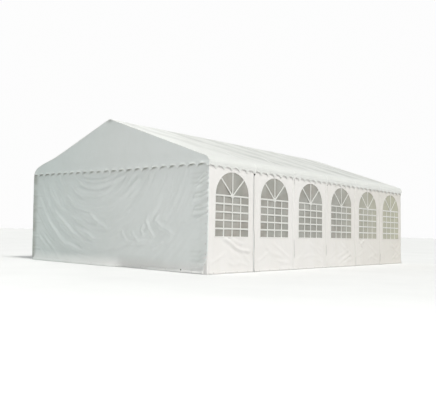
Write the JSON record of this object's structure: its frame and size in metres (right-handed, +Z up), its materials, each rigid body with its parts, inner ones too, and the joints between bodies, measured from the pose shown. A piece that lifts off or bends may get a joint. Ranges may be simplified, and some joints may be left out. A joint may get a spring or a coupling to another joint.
{
  "type": "marquee tent",
  "caption": "White ridge-roofed marquee with plain gable ends, arched windows along both long sides and a scalloped valance all round, on a steel tube frame",
  "frame": {"origin": "on the ground in the middle of the tent, the bottom centre of its box", "axes": "+Z up; Y along the tent, with the gable end that the picture shows at -Y; X across it, with the long side that the picture shows at +X"},
  "size_m": [8.04, 12.04, 4.41],
  "materials": {
    "roof_cloth": "white coated cloth, smooth, faint sheen",
    "wall_cloth": "white coated cloth, smooth, soft wrinkles",
    "gable_cloth": "white coated cloth, smooth, broad wrinkles",
    "window_film": "clear soft film, slightly smoky",
    "frame_steel": "white paint, satin"
  },
  "bodies": {
    "root": {"portal_frame_1": "frame_steel", "portal_frame_2": "frame_steel", "portal_frame_3": "frame_steel", "portal_frame_4": "frame_steel", "portal_frame_5": "frame_steel", "portal_frame_6": "frame_steel", "portal_frame_7": "frame_steel", "ridge_rail": "frame_steel", "left_eave_rail": "frame_steel", "right_eave_rail": "frame_steel", "left_roof_rail": "frame_steel", "right_roof_rail": "frame_steel", "roof_cover": "roof_cloth", "front_gable_top": "roof_cloth", "back_gable_top": "roof_cloth", "front_gable_wall": "gable_cloth", "back_gable_wall": "gable_cloth", "left_wall_1": "wall_cloth", "left_window_1": "window_film", "right_wall_1": "wall_cloth", "right_window_1": "window_film", "left_wall_2": "wall_cloth", "left_window_2": "window_film", "right_wall_2": "wall_cloth", "right_window_2": "window_film", "left_wall_3": "wall_cloth", "left_window_3": "window_film", "right_wall_3": "wall_cloth", "right_window_3": "window_film", "left_wall_4": "wall_cloth", "left_window_4": "window_film", "right_wall_4": "wall_cloth", "right_window_4": "window_film", "left_wall_5": "wall_cloth", "left_window_5": "window_film", "right_wall_5": "wall_cloth", "right_window_5": "window_film", "left_wall_6": "wall_cloth", "left_window_6": "window_film", "right_wall_6": "wall_cloth", "right_window_6": "window_film"}
  },
  "joints": []
}
